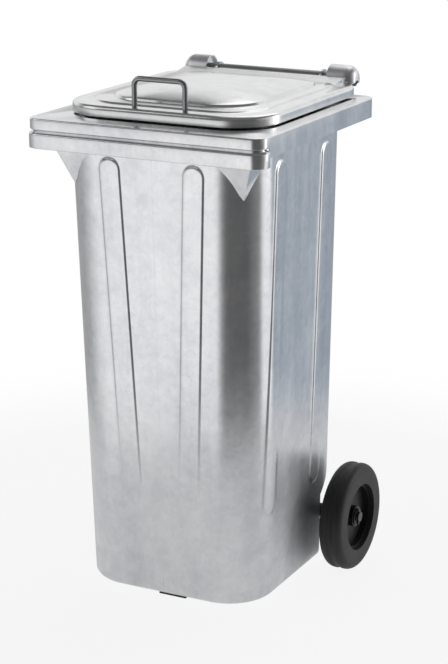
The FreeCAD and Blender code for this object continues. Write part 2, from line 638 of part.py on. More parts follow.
def lid_form(name, thickness):
    """The lid's solid form, lowered and inset by a thickness."""
    sections = []
    stacks = []
    for number, (inset, level) in enumerate(lid_levels()):
        skirt = number < 4
        corner = "Sizes.lidCorner - (%s) - %s" % (inset, thickness)
        drop = "0" if number == 0 else thickness
        side = thickness if skirt else "0"
        sections.append(section(
            "%s%d" % (name, number), "%s - 2 * (%s) - 2 * %s" % (LID_WIDTH, inset, side),
            "%s - 2 * (%s) - 2 * %s" % (LID_DEPTH, inset, side),
            corner if skirt else "Sizes.lidRingCorner", LID_MIDDLE,
            "%s - %s" % (level, drop)))
        if number in (3, 5, 11):                       # the next ring starts on this level
            stacks.append(loft("%sStack%d" % (name, number), sections))
            sections = []
    return fuse(name, stacks)


lid_outside = lid_form("LidOutside", "0")
lid_inside = lid_form("LidInside", "Sizes.lidSheet")
node(cut("Lid", lid_outside, lid_inside), "lid_panel")

# Ramp along the lid's hinge edge, a hollow wedge seated on the lid
def ramp_wedge(name, inset):
    top = "%s + Sizes.hingeRampRise - %s" % (LID_TOP, inset)
    floor = "%s - %s" % (LID_TOP, inset)
    corners = [(LID_REAR + " - Sizes.hingeRampRun", floor),
               (LID_REAR + " - " + inset, floor), (LID_REAR + " - " + inset, top),
               (LID_REAR + " - Sizes.hingeRampFlat", top)]
    return bar_along_x(name, corners, "%s - Sizes.hingeRampWidth / 2" % inset,
                       "Sizes.hingeRampWidth - 2 * " + inset)


ramp_trim = slab("RampTrim", LID_WIDTH, LID_DEPTH, "Sizes.lidCorner",
                 LID_MIDDLE, LID_TOP, LID_TOP + " + Sizes.hingeRampRise")
ramp_outer = common("RampOuter", ramp_wedge("RampWedge", "0"), ramp_trim)
ramp_tools = fuse("RampTools", [ramp_wedge("RampHollow", "Sizes.lidSheet"), lid_outside])
node(cut("Ramp", ramp_outer, ramp_tools), "hinge_ramp")

# Lid handle, a bent rod that stands on the lid near its front edge
handle = new_body("lid_handle")
HANDLE_Y = "(%s + Sizes.lidSetback + Sizes.handleInset)" % FRONT
spine = body_sketch(handle, "XZ_Plane", "HandleSpine", "0", LID_TOP, "-" + HANDLE_Y)
half, rise = value("Sizes.handleWidth / 2"), value("Sizes.handleHeight")
bend = value("Sizes.handleBend")
left_bend = Part.Circle(Vector(bend - half, rise - bend, 0), Vector(0, 0, 1), bend)
right_bend = Part.Circle(Vector(half - bend, rise - bend, 0), Vector(0, 0, 1), bend)
spine.addGeometry(Part.LineSegment(Vector(-half, 0, 0), Vector(-half, rise - bend, 0)))
spine.addGeometry(Part.ArcOfCircle(left_bend, math.pi / 2, math.pi))
spine.addGeometry(Part.LineSegment(Vector(bend - half, rise, 0), Vector(half - bend, rise, 0)))
spine.addGeometry(Part.ArcOfCircle(right_bend, 0, math.pi / 2))
spine.addGeometry(Part.LineSegment(Vector(half, rise - bend, 0), Vector(half, 0, 0)))
for joint in ((0, 2, 1, 2), (1, 1, 2, 1), (2, 2, 3, 2), (3, 1, 4, 1)):
    spine.addConstraint(Sketcher.Constraint("Tangent", *joint))
spine.addConstraint(Sketcher.Constraint("Vertical", 0))
spine.addConstraint(Sketcher.Constraint("Vertical", 4))
spine.addConstraint(Sketcher.Constraint("Horizontal", 2))
spine.addConstraint(Sketcher.Constraint("Symmetric", 0, 1, 4, 2, -2))
spine.addConstraint(Sketcher.Constraint("PointOnObject", 0, 1, -1))
spine.addConstraint(Sketcher.Constraint("Equal", 1, 3))
dimension(spine, "width", Sketcher.Constraint("DistanceX", 0, 1, 4, 2, 2 * half),
          "Sizes.handleWidth")
dimension(spine, "height", Sketcher.Constraint("DistanceY", 0, 1, 2, 1, rise),
          "Sizes.handleHeight")
dimension(spine, "bend", Sketcher.Constraint("Radius", 1, bend), "Sizes.handleBend")
rod = body_sketch(handle, "XY_Plane", "HandleRod", "-Sizes.handleWidth / 2", HANDLE_Y, LID_TOP)
rod_radius = value("Sizes.handleRod / 2")
rod.addGeometry(Part.Circle(Vector(), Vector(0, 0, 1), rod_radius))
rod.addConstraint(Sketcher.Constraint("Coincident", 0, 3, -1, 1))
dimension(rod, "radius", Sketcher.Constraint("Radius", 0, rod_radius), "Sizes.handleRod / 2")
doc.recompute()
sweep = handle.newObject("PartDesign::AdditivePipe", "HandleSweep")
sweep.Profile = rod
sweep.Spine = spine

# Hinge bar, its caps and its brackets on the rear of the collar
BAR_RADIUS = "(Sizes.barDiameter / 2)"
BAR_HALF = "(Sizes.hoodOuter - Sizes.hoodSheet - Sizes.barEndGap - Sizes.capThickness)"


def tube(name, outer, inner, length, x, y, z):
    """A tube that starts at x and runs to the right."""
    return cut(name, round_bar(name + "Outer", outer, length, x, y, z),
               round_bar(name + "Inner", inner, length, x, y, z))


BAR_BORE = "(%s - Sizes.barWall)" % BAR_RADIUS
bar = tube("Bar", BAR_RADIUS, BAR_BORE, "2 * " + BAR_HALF, "-" + BAR_HALF, HINGE_Y, HINGE_Z)
node(bar, "hinge_bar")
cap_disc = round_bar("CapDisc", BAR_RADIUS, "Sizes.capThickness", BAR_HALF, HINGE_Y, HINGE_Z)
spigot = round_bar("CapSpigot", BAR_BORE, "Sizes.capSpigot", BAR_HALF + " - Sizes.capSpigot",
                   HINGE_Y, HINGE_Z)
cap = node(fuse("BarCap", [cap_disc, spigot]), "bar_cap_right")
mirrored("bar_cap_left", cap)

BOSS = "(%s + Sizes.bracketRing)" % BAR_RADIUS
BRACKET_X = "(Sizes.bracketPlace - Sizes.bracketThickness / 2)"
bracket_corners = [(COLLAR_REAR, "Sizes.rimHeight - Sizes.bracketFoot"),
                   (COLLAR_REAR, "Sizes.rimHeight"),
                   (HINGE_Y + " - 0.8 * " + BOSS, HINGE_Z + " + 0.6 * " + BOSS),
                   (HINGE_Y + " + 0.6 * " + BOSS, HINGE_Z + " - 0.8 * " + BOSS),
                   (COLLAR_REAR + " + Sizes.bracketNeck", "Sizes.rimHeight - Sizes.sheet"),
                   (COLLAR_REAR + " + Sizes.bracketToe",
                    "Sizes.rimHeight - Sizes.bracketFoot")]
bracket_plate = bar_along_x("BracketPlate", bracket_corners, BRACKET_X,
                            "Sizes.bracketThickness")
bracket_boss = round_bar("BracketBoss", BOSS, "Sizes.bracketThickness", BRACKET_X, HINGE_Y,
                         HINGE_Z)
bracket_hole = round_bar("BracketHole", BAR_RADIUS, "Sizes.bracketThickness", BRACKET_X,
                         HINGE_Y, HINGE_Z)
bracket = cut("BarBracket", fuse("BracketForm", [bracket_plate, bracket_boss]), bracket_hole)
mirrored("bar_bracket_left", node(bracket, "bar_bracket_right"))

# Hoods of the lid round the bar, closed and rounded at their outer ends
hood_sketch = free_sketch("HoodProfile", "0", HINGE_Y, HINGE_Z)
hood_corners = []
for inset in ("0", "Sizes.hoodSheet"):
    end = "Sizes.hoodOuter - %s" % inset
    radius = "Sizes.hoodRadius - %s" % inset
    bow = "(Sizes.hoodRound - %s)" % inset
    row = [("Sizes.hoodInner", radius)]
    for degrees in (90, 67.5, 45, 22.5, 0):
        turn = math.radians(degrees)
        row.append(("%s - %s * %.5f" % (end, bow, 1 - math.cos(turn)),
                    "%s - %s * %.5f" % (radius, bow, 1 - math.sin(turn))))
    row.append((end, "0"))
    hood_corners += row if inset == "0" else row[::-1]
polygon(hood_sketch, hood_corners)
hood_turn = doc.addObject("Part::Revolution", "HoodTurn")
hood_turn.Source = hood_sketch
hood_turn.Axis = Vector(1, 0, 0)
hood_turn.Solid = True
bind(hood_turn, Base__y=HINGE_Y, Base__z=HINGE_Z,
     Angle="Sizes.hoodFrontAngle - Sizes.hoodRearAngle")
TAB_X = "(Sizes.hoodInner)"
hood_tab = block("HoodTab", TAB_X, LID_REAR, HINGE_Z + " - Sizes.hoodTabBelow",
                 "Sizes.hoodTabWidth",
                 "%s - Sizes.hoodRadius + Sizes.hoodSheet - %s" % (HINGE_Y, LID_REAR),
                 "Sizes.hoodTabBelow + Sizes.hoodTabAbove")
hood_room = round_bar("HoodRoom", "Sizes.hoodRadius - Sizes.hoodSheet", "Sizes.hoodTabWidth",
                      TAB_X, HINGE_Y, HINGE_Z)
hood = node(fuse("Hood", [hood_turn, cut("HoodTabTrim", hood_tab, hood_room)]),
            "lid_hood_right")
mirrored("lid_hood_left", hood)

# Hinge lugs inside each hood, bored to run on the bar
LUG_RADIUS = "(Sizes.hoodRadius - Sizes.hoodSheet)"
for number, name in ((0, "inner"), (1, "outer")):
    x = "Sizes.hoodInner + Sizes.lugInset + %d * Sizes.lugPitch" % number
    disc = round_bar("LugDisc" + name, LUG_RADIUS, "Sizes.lugThickness", x, HINGE_Y, HINGE_Z)
    bore = round_bar("LugBore" + name, BAR_RADIUS + " + Sizes.barClearance",
                     "Sizes.lugThickness", x, HINGE_Y, HINGE_Z)
    room = block("LugRoom" + name, x, "%s - %s" % (HINGE_Y, LUG_RADIUS),
                 "%s - Sizes.hoodRadius" % HINGE_Z, "Sizes.lugThickness", "2 * " + LUG_RADIUS,
                 "Sizes.hoodRadius - Sizes.lugBelow")
    lug = cut("Lug" + name, disc, fuse("LugTools" + name, [bore, room]))
    node(lug, "lid_lug_right_" + name)
    mirrored("lid_lug_left_" + name, lug)


def wheel_body(label, corners):
    """A ring turned about the axle, with its middle at the wheel's middle."""
    body = new_body(label)
    turned(body, label + "Turn", corners)
    place(body, "Sizes.wheelTrack / 2", AXLE_Y, AXLE_Z)
    return body


def both_ways(row):
    """A profile's right half followed by its mirror image."""
    return row + [("0 - (%s)" % x, r) for x, r in row[::-1]]


TREAD = "(Sizes.wheelDiameter / 2)"
SHOULDER_X = "Sizes.wheelWidth / 2 - Sizes.tyreShoulder * %.4f"
SHOULDER_R = TREAD + " - Sizes.tyreShoulder * %.4f"
tyre = wheel_body("tyre_right", both_ways([
    ("Sizes.wheelWidth / 2", "Sizes.discDiameter / 2"),
    ("Sizes.wheelWidth / 2", SHOULDER_R % 1),
    (SHOULDER_X % 0.2929, SHOULDER_R % 0.2929), (SHOULDER_X % 1, TREAD),
    ("Sizes.treadGrooveWidth / 2", TREAD),
    ("Sizes.treadGrooveWidth / 2", TREAD + " - Sizes.treadGroove")]))
BUSH_OUTER = "(Sizes.axleDiameter / 2 + Sizes.axleClearance + Sizes.bushWall)"
disc_inner = "Sizes.discDiameter / 2 - Sizes.discRimWall"
wheel_disc = wheel_body("wheel_disc_right", both_ways([
    ("Sizes.hubWidth / 2", BUSH_OUTER), ("Sizes.hubWidth / 2", "Sizes.hubDiameter / 2"),
    ("Sizes.discWeb / 2", "Sizes.hubDiameter / 2"), ("Sizes.discWeb / 2", disc_inner),
    ("Sizes.discWidth / 2", disc_inner), ("Sizes.discWidth / 2", "Sizes.discDiameter / 2")]))
bush = wheel_body("wheel_bush_right", both_ways([
    ("Sizes.hubWidth / 2", "Sizes.axleDiameter / 2 + Sizes.axleClearance"),
    ("Sizes.hubWidth / 2", BUSH_OUTER)]))
mirrored("tyre_left", tyre)
mirrored("wheel_disc_left", wheel_disc)
mirrored("wheel_bush_left", bush)

# Axle with its spacers, washers and pins
HUB_OUT = "(Sizes.wheelTrack / 2 + Sizes.hubWidth / 2 + Sizes.washerPlay)"
HUB_IN = "(Sizes.wheelTrack / 2 - Sizes.hubWidth / 2 - Sizes.washerPlay)"
PIN_X = "(%s + Sizes.washerThickness + Sizes.pinDiameter / 2)" % HUB_OUT
AXLE_HALF = "(%s + Sizes.axleStub)" % PIN_X
AXLE_RADIUS = "(Sizes.axleDiameter / 2)"
WASHER_RADIUS = "Sizes.washerDiameter / 2"
rod = round_bar("AxleRod", AXLE_RADIUS, "2 * " + AXLE_HALF, "-" + AXLE_HALF, AXLE_Y, AXLE_Z)
pin_z = AXLE_Z + " - Sizes.pinLength / 2"
pin_right = round_bar("PinRight", "Sizes.pinDiameter / 2", "Sizes.pinLength", PIN_X, AXLE_Y,
                      pin_z, Vector(0, 0, 1))
mirrored("axle_pin_left", node(pin_right, "axle_pin_right"))
pin_left = round_bar("PinLeftHole", "Sizes.pinDiameter / 2", "Sizes.pinLength", "-" + PIN_X,
                     AXLE_Y, pin_z, Vector(0, 0, 1))
node(cut("Axle", rod, fuse("PinHoles", [pin_right, pin_left])), "axle")
for name, x in (("outer", HUB_OUT), ("inner", HUB_IN + " - Sizes.washerThickness")):
    washer = tube("Washer" + name, WASHER_RADIUS, AXLE_RADIUS, "Sizes.washerThickness", x,
                  AXLE_Y, AXLE_Z)
    mirrored("washer_left_" + name, node(washer, "washer_right_" + name))
PLATE_X = "(Sizes.axleBracketPlace - Sizes.axleBracketThickness / 2)"
SPACER_X = "(Sizes.axleBracketPlace + Sizes.axleBracketThickness / 2)"
spacer = tube("Spacer", "Sizes.spacerDiameter / 2", AXLE_RADIUS,
              "%s - Sizes.washerThickness - %s" % (HUB_IN, SPACER_X), SPACER_X, AXLE_Y, AXLE_Z)
mirrored("axle_spacer_left", node(spacer, "axle_spacer_right"))

# Axle brackets under the recess's folded panel
RING = "(Sizes.axleDiameter / 2 + Sizes.axleBracketRing)"
plate_corners = [
    (RECESS_Y, "Sizes.recessWall - Sizes.axleBracketFoot"),
    (RECESS_Y, "Sizes.recessWall"),
    (RECESS_Y + " + Sizes.axleBracketRun",
     "Sizes.recessWall + Sizes.recessRise * Sizes.axleBracketRun / Sizes.recessDepth"),
    (AXLE_Y + " + 0.8 * " + RING, AXLE_Z + " - 0.6 * " + RING),
    (AXLE_Y + " - 0.5 * " + RING, AXLE_Z + " - 0.866 * " + RING)]
axle_plate = bar_along_x("AxlePlate", plate_corners, PLATE_X, "Sizes.axleBracketThickness")
axle_boss = round_bar("AxleBoss", RING, "Sizes.axleBracketThickness", PLATE_X, AXLE_Y, AXLE_Z)
axle_hole = round_bar("AxleHole", AXLE_RADIUS, "Sizes.axleBracketThickness", PLATE_X, AXLE_Y,
                      AXLE_Z)
axle_bracket = cut("AxleBracket", fuse("AxlePlateForm", [axle_plate, axle_boss]), axle_hole)
mirrored("axle_bracket_left", node(axle_bracket, "axle_bracket_right"))

doc.recompute()
faults = []
for feature in doc.Objects:
    if "Invalid" in feature.State or "Error" in feature.State:
        faults.append("%s is %s" % (feature.Name, feature.State))
for feature in nodes:
    shape = feature.Shape
    if shape.isNull() or not shape.isValid() or not shape.Solids or shape.Volume <= 0:
        faults.append("%s has no sound solid" % feature.Label)
if faults:
    raise RuntimeError("; ".join(faults))

os.makedirs("parts", exist_ok=True)
for feature in nodes:
    feature.Shape.exportStep("parts/%s.step" % feature.Label)
    box = feature.Shape.BoundBox
    print("%-22s %d solid(s) %9.1f cm3  x %7.1f %7.1f  y %7.1f %7.1f  z %6.1f %6.1f" % (
        feature.Label, len(feature.Shape.Solids), feature.Shape.Volume / 1000, box.XMin,
        box.XMax, box.YMin, box.YMax, box.ZMin, box.ZMax))
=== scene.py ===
# Wheeled galvanised waste bin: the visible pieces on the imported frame.
# Pieces are shaped in millimetres and scaled to metres when they are finished.
import bpy
import bmesh
import math
from mathutils import Matrix, Vector


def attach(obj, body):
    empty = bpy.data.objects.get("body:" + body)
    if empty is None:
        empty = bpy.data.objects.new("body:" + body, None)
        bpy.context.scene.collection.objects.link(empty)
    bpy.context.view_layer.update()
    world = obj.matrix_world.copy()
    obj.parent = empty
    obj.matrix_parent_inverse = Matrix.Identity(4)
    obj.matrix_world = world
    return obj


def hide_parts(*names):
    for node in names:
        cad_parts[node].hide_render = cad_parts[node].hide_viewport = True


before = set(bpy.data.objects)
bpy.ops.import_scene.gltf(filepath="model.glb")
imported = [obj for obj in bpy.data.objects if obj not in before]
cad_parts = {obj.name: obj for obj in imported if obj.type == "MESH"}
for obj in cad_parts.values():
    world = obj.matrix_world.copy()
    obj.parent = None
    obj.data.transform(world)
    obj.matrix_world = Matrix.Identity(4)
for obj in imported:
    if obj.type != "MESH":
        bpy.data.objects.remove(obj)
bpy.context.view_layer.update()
print("stage: frame loaded")

frontPlane = -279.25            # the front face of the rim collar
smallestCorner = 2.0


def smoothStep(t):
    t = max(0.0, min(1.0, t))
    return t * t * (3 - 2 * t)


def mix(a, b, t):
    return a + (b - a) * t


# An outline is a rounded rectangle (half width, front, rear, corner radius and, where it differs,
# rear corner radius), walked from the middle of its front round its +x half to the middle of its rear.
def cornersOf(outline):
    return outline[3], outline[-1]


def outlineLengths(outline):
    half, front, rear = outline[:3]
    corner, rearCorner = cornersOf(outline)
    return [half - corner, corner * math.pi / 2, rear - front - corner - rearCorner,
            rearCorner * math.pi / 2, half - rearCorner]


def outlinePoint(outline, distance):
    half, front, rear = outline[:3]
    corner, rearCorner = cornersOf(outline)
    across, arc, along, rearArc, rearAcross = outlineLengths(outline)
    if distance <= across:
        return distance, front, 0.0, -1.0
    distance -= across
    if distance <= arc:
        turn = distance / corner
        return (across + corner * math.sin(turn), front + corner - corner * math.cos(turn),
                math.sin(turn), -math.cos(turn))
    distance -= arc
    if distance <= along:
        return half, front + corner + distance, 1.0, 0.0
    distance -= along
    if distance <= rearArc:
        turn = distance / rearCorner
        return (rearAcross + rearCorner * math.cos(turn), rear - rearCorner + rearCorner * math.sin(turn),
                math.cos(turn), math.sin(turn))
    return max(0.0, rearAcross - (distance - rearArc)), rear, 0.0, 1.0


def insetOutline(outline, inset):
    half, front, rear = outline[:3]
    corners = tuple(max(corner - inset, smallestCorner) for corner in cornersOf(outline))
    return (half - inset, front + inset, rear - inset) + corners


def outlineSpots(counts):
    spots = []                  # (stretch of the outline, share of that stretch)
    for stretch, count in enumerate(counts):
        spots += [(stretch, i / count) for i in range(count)]
    return spots + [(4, 1.0)]


def ringOf(outline, height, spots):
    lengths = outlineLengths(outline)
    points = []
    for stretch, share in spots:
        place = outlinePoint(outline, sum(lengths[:stretch]) + lengths[stretch] * share)
        points.append((*place[:2], height))
    return points


def nextRing(bm, ring):
    edges = [bm.edges.get((ring[i - 1], ring[i])) for i in range(len(ring))]
    made = bmesh.ops.extrude_edge_only(bm, edges=edges)["geom"]
    fresh = set(v for v in made if isinstance(v, bmesh.types.BMVert))
    return [next(e.other_vert(v) for e in v.link_edges if e.other_vert(v) in fresh) for v in ring]


# Joins rings of points of the +x half, each mirrored to a closed loop.
def sweepRings(rings, capped=False):
    bm = bmesh.new()
    last = len(rings[0]) - 1
    bmesh.ops.create_circle(bm, segments=2 * last, radius=1, cap_ends=capped)
    ring = list(bm.verts)
    for number, points in enumerate(rings):
        if number:
            ring = nextRing(bm, ring)
        for i, v in enumerate(ring):
            x, y, z = points[i] if i <= last else points[2 * last - i]
            v.co = (x if i <= last else -x, y, z)
    bmesh.ops.recalc_face_normals(bm, faces=bm.faces)
    return bm


# Turns a profile of (x, radius) points about the x axis.
def lathe(profile, steps, middle, angle=math.tau, start=0.0):
    bm = bmesh.new()
    verts = [bm.verts.new((x, r, 0)) for x, r in profile]
    edges = [bm.edges.new(pair) for pair in zip(verts, verts[1:])]
    if angle == math.tau and profile[0][1] > 0:
        edges.append(bm.edges.new((verts[-1], verts[0])))
    bmesh.ops.rotate(bm, verts=verts, cent=(0, 0, 0), matrix=Matrix.Rotation(start, 3, "X"))
    bmesh.ops.spin(bm, geom=verts + edges, cent=(0, 0, 0), axis=(1, 0, 0), dvec=(0, 0, 0), angle=angle,
                   steps=steps, use_merge=angle == math.tau, use_duplicate=False)
    bmesh.ops.remove_doubles(bm, verts=bm.verts, dist=0.001)
    bmesh.ops.recalc_face_normals(bm, faces=bm.faces)
    bmesh.ops.translate(bm, verts=bm.verts, vec=middle)
    return bm


def dropFaces(bm, test):
    gone = [f for f in bm.faces if test(f.calc_center_median())]
    bmesh.ops.delete(bm, geom=gone, context="FACES")


# Cuts new edges along a plane, in the faces that pass the test.
def cutAcross(bm, point, normal, test):
    near = [f for f in bm.faces if test(f.calc_center_median())]
    geom = near + list({e for f in near for e in f.edges}) + list({v for f in near for v in f.verts})
    bmesh.ops.bisect_plane(bm, geom=geom, dist=0.0001, plane_co=point, plane_no=normal)


def thicken(bm, sheet):
    bmesh.ops.solidify(bm, geom=list(bm.faces), thickness=sheet)


def finishPiece(name, bm, body, material, node, sharp=38):
    for edge in bm.edges:
        if len(edge.link_faces) == 2 and edge.calc_face_angle(0) > math.radians(sharp):
            edge.smooth = False
    for face in bm.faces:
        face.smooth = True
    bmesh.ops.scale(bm, vec=(0.001, 0.001, 0.001), verts=bm.verts)
    mesh = bpy.data.meshes.new(name)
    bm.to_mesh(mesh)
    bm.free()
    piece = bpy.data.objects.new(name, mesh)
    bpy.context.scene.collection.objects.link(piece)
    piece.data.materials.append(material)
    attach(piece, body)
    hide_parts(node)


# Finishes
def nodeOf(tree, kind, values=None, **settings):
    node = tree.nodes.new(kind)
    for key, setting in settings.items():
        setattr(node, key, setting)
    for key, value in (values or {}).items():
        node.inputs[key].default_value = value
    return node


def ramp(tree, source, stops):
    node = tree.nodes.new("ShaderNodeValToRGB")
    elements = node.color_ramp.elements
    while len(elements) < len(stops):
        elements.new(0.5)
    for element, (place, tone) in zip(elements, stops):
        element.position = place
        element.color = (tone, tone, tone, 1) if isinstance(tone, (int, float)) else (*tone, 1)
    tree.links.new(source, node.inputs["Fac"])
    return node.outputs["Color"]


zincLook = {"spangleSize": 95.0, "cloudSize": 5.5, "streakSize": 20.0, "smudgeSize": 30.0, "waveSize": 6.5,
            "waveHeight": 0.0012, "fleckHeight": 0.02, "smudgeShare": 0.3, "fleckShare": 0.12,
            "roughSpan": 0.1, "scuffTop": 0.38, "scuffFoot": 0.12, "scuffFrom": 0.15, "scuffTo": 0.19}
zincShades = ((0.15, (0.72, 0.735, 0.76)), (0.5, (0.9, 0.9, 0.91)), (0.85, (1.06, 1.05, 1.04)))


# The coat's clouds, streaks, smudges and flecks, with a scuff low down on the sides.
def makeZincGroup():
    tree = bpy.data.node_groups.new("zincCoat", "ShaderNodeTree")
    face = tree.interface
    face.new_socket(name="Tone", in_out="INPUT", socket_type="NodeSocketColor")
    for name in ("Dull", "Clouding", "Waviness", "Scuff"):
        face.new_socket(name=name, in_out="INPUT", socket_type="NodeSocketFloat")
    for name, kind in (("Color", "NodeSocketColor"), ("Roughness", "NodeSocketFloat"),
                       ("Normal", "NodeSocketVector")):
        face.new_socket(name=name, in_out="OUTPUT", socket_type=kind)
    link = tree.links.new
    given = tree.nodes.new("NodeGroupInput")
    result = tree.nodes.new("NodeGroupOutput")
    place = nodeOf(tree, "ShaderNodeTexCoord").outputs["Object"]
    spangle = nodeOf(tree, "ShaderNodeTexVoronoi", {"Scale": zincLook["spangleSize"]})
    link(place, spangle.inputs["Vector"])
    grey = nodeOf(tree, "ShaderNodeSeparateColor")
    link(spangle.outputs["Color"], grey.inputs["Color"])
    cloud = nodeOf(tree, "ShaderNodeTexNoise", {"Scale": zincLook["cloudSize"], "Detail": 5.0,
                                                "Roughness": 0.62, "Distortion": 0.4})
    link(place, cloud.inputs["Vector"])
    stretch = nodeOf(tree, "ShaderNodeMapping", {"Scale": (1.0, 1.0, 0.12)})
    link(place, stretch.inputs["Vector"])
    streak = nodeOf(tree, "ShaderNodeTexNoise", {"Scale": zincLook["streakSize"], "Detail": 4.0,
                                                 "Roughness": 0.6})
    link(stretch.outputs["Vector"], streak.inputs["Vector"])
    cloudTone = ramp(tree, cloud.outputs["Fac"], ((0.3, 0.0), (0.7, 1.0)))
    streakTone = ramp(tree, streak.outputs["Fac"], ((0.3, 0.0), (0.7, 1.0)))
    both = nodeOf(tree, "ShaderNodeMix", {"Factor": 0.5}, data_type="RGBA")
    link(cloudTone, both.inputs["A"])
    link(streakTone, both.inputs["B"])
    smudge = nodeOf(tree, "ShaderNodeTexNoise", {"Scale": zincLook["smudgeSize"], "Detail": 6.0,
                                                 "Roughness": 0.7})
    link(place, smudge.inputs["Vector"])
    smudgeTone = ramp(tree, smudge.outputs["Fac"], ((0.33, 0.0), (0.66, 1.0)))
    soiled = nodeOf(tree, "ShaderNodeMix", {"Factor": zincLook["smudgeShare"]}, data_type="RGBA")
    link(both.outputs["Result"], soiled.inputs["A"])
    link(smudgeTone, soiled.inputs["B"])
    flecks = nodeOf(tree, "ShaderNodeMix", {"Factor": zincLook["fleckShare"]}, data_type="RGBA")
    link(soiled.outputs["Result"], flecks.inputs["A"])
    link(grey.outputs["Red"], flecks.inputs["B"])
    darker = nodeOf(tree, "ShaderNodeMix", data_type="RGBA", blend_type="MULTIPLY")
    shade = ramp(tree, flecks.outputs["Result"], zincShades)
    link(given.outputs["Clouding"], darker.inputs["Factor"])
    link(given.outputs["Tone"], darker.inputs["A"])
    link(shade, darker.inputs["B"])
    link(darker.outputs["Result"], result.inputs["Color"])
    rough = nodeOf(tree, "ShaderNodeMath", {1: zincLook["roughSpan"]}, operation="MULTIPLY_ADD")
    link(both.outputs["Result"], rough.inputs[0])
    link(given.outputs["Dull"], rough.inputs[2])
    height = nodeOf(tree, "ShaderNodeSeparateXYZ")
    link(place, height.inputs["Vector"])
    low = nodeOf(tree, "ShaderNodeMapRange",
                 {"From Min": zincLook["scuffTop"], "From Max": zincLook["scuffFoot"]},
                 interpolation_type="SMOOTHSTEP")
    link(height.outputs["Z"], low.inputs["Value"])
    side = nodeOf(tree, "ShaderNodeMath", operation="ABSOLUTE")
    link(height.outputs["X"], side.inputs[0])
    beside = nodeOf(tree, "ShaderNodeMapRange",
                    {"From Min": zincLook["scuffFrom"], "From Max": zincLook["scuffTo"]},
                    interpolation_type="SMOOTHSTEP")
    link(side.outputs[0], beside.inputs["Value"])
    rubbed = nodeOf(tree, "ShaderNodeMath", operation="MULTIPLY")
    link(low.outputs["Result"], rubbed.inputs[0])
    link(beside.outputs["Result"], rubbed.inputs[1])
    scuffed = nodeOf(tree, "ShaderNodeMath", operation="MULTIPLY_ADD")
    link(rubbed.outputs[0], scuffed.inputs[0])
    link(given.outputs["Scuff"], scuffed.inputs[1])
    link(rough.outputs[0], scuffed.inputs[2])
    link(scuffed.outputs[0], result.inputs["Roughness"])
    wave = nodeOf(tree, "ShaderNodeTexNoise", {"Scale": zincLook["waveSize"], "Detail": 2.0,
                                               "Roughness": 0.45})
    link(place, wave.inputs["Vector"])
    fine = nodeOf(tree, "ShaderNodeMath", {1: zincLook["fleckHeight"]}, operation="MULTIPLY_ADD")
    link(grey.outputs["Green"], fine.inputs[0])
    link(wave.outputs["Fac"], fine.inputs[2])
    bump = nodeOf(tree, "ShaderNodeBump", {"Distance": zincLook["waveHeight"]})
    link(given.outputs["Waviness"], bump.inputs["Strength"])
    link(fine.outputs[0], bump.inputs["Height"])
    link(bump.outputs["Normal"], result.inputs["Normal"])
    return tree


zincGroup = makeZincGroup()


def zincMaterial(name, tone, dull, clouding, waviness, scuff=0.0):
    material = bpy.data.materials.new(name)
    material.use_nodes = True
    tree = material.node_tree
    shader = tree.nodes["Principled BSDF"]
    shader.inputs["Metallic"].default_value = 1.0
    coat = tree.nodes.new("ShaderNodeGroup")
    coat.node_tree = zincGroup
    coat.inputs["Tone"].default_value = (*tone, 1)
    coat.inputs["Dull"].default_value = dull
    coat.inputs["Clouding"].default_value = clouding
    coat.inputs["Waviness"].default_value = waviness
    coat.inputs["Scuff"].default_value = scuff
    for output, socket in (("Color", "Base Color"), ("Roughness", "Roughness"), ("Normal", "Normal")):
        tree.links.new(coat.outputs[output], shader.inputs[socket])
    return material


dustLook = {"size": 14.0, "darkTone": 0.8, "paleTone": 1.7, "lessDull": 0.06, "moreDull": 0.12,
            "grainSize": 900.0, "grainHeight": 0.0002}


def rubberMaterial(name, tone, roughness, grain):
    material = bpy.data.materials.new(name)
    material.use_nodes = True
    tree = material.node_tree
    shader = tree.nodes["Principled BSDF"]
    place = nodeOf(tree, "ShaderNodeTexCoord").outputs["Object"]
    dust = nodeOf(tree, "ShaderNodeTexNoise", {"Scale": dustLook["size"], "Detail": 6.0, "Roughness": 0.65})
    fine = nodeOf(tree, "ShaderNodeTexNoise", {"Scale": dustLook["grainSize"], "Detail": 2.0})
    tree.links.new(place, dust.inputs["Vector"])
    tree.links.new(place, fine.inputs["Vector"])
    dark, pale = (tuple(c * dustLook[key] for c in tone) for key in ("darkTone", "paleTone"))
    color = ramp(tree, dust.outputs["Fac"], ((0.3, dark), (0.75, pale)))
    tree.links.new(color, shader.inputs["Base Color"])
    dull = ramp(tree, dust.outputs["Fac"], ((0.3, roughness - dustLook["lessDull"]),
                                            (0.75, roughness + dustLook["moreDull"])))
    tree.links.new(dull, shader.inputs["Roughness"])
    bump = nodeOf(tree, "ShaderNodeBump", {"Distance": dustLook["grainHeight"], "Strength": grain})
    tree.links.new(fine.outputs["Fac"], bump.inputs["Height"])
    tree.links.new(bump.outputs["Normal"], shader.inputs["Normal"])
    return material


sheetZinc = zincMaterial("sheetZinc", (0.82, 0.83, 0.845), 0.15, 0.9, 0.6, 0.34)
rimZinc = zincMaterial("rimZinc", (0.80, 0.805, 0.815), 0.15, 0.8, 0.4)
lidZinc = zincMaterial("lidZinc", (0.82, 0.825, 0.825), 0.16, 0.6, 0.4)
castZinc = zincMaterial("castZinc", (0.80, 0.805, 0.82), 0.34, 0.8, 0.3)
rodZinc = zincMaterial("rodZinc", (0.36, 0.365, 0.37), 0.28, 0.6, 0.2)
axleSteel = zincMaterial("axleSteel", (0.13, 0.13, 0.135), 0.35, 0.6, 0.2)
tyreRubber = rubberMaterial("tyreRubber", (0.02, 0.02, 0.021), 0.5, 0.35)
discPlastic = rubberMaterial("discPlastic", (0.011, 0.011, 0.012), 0.42, 0.2)
print("stage: finishes made")

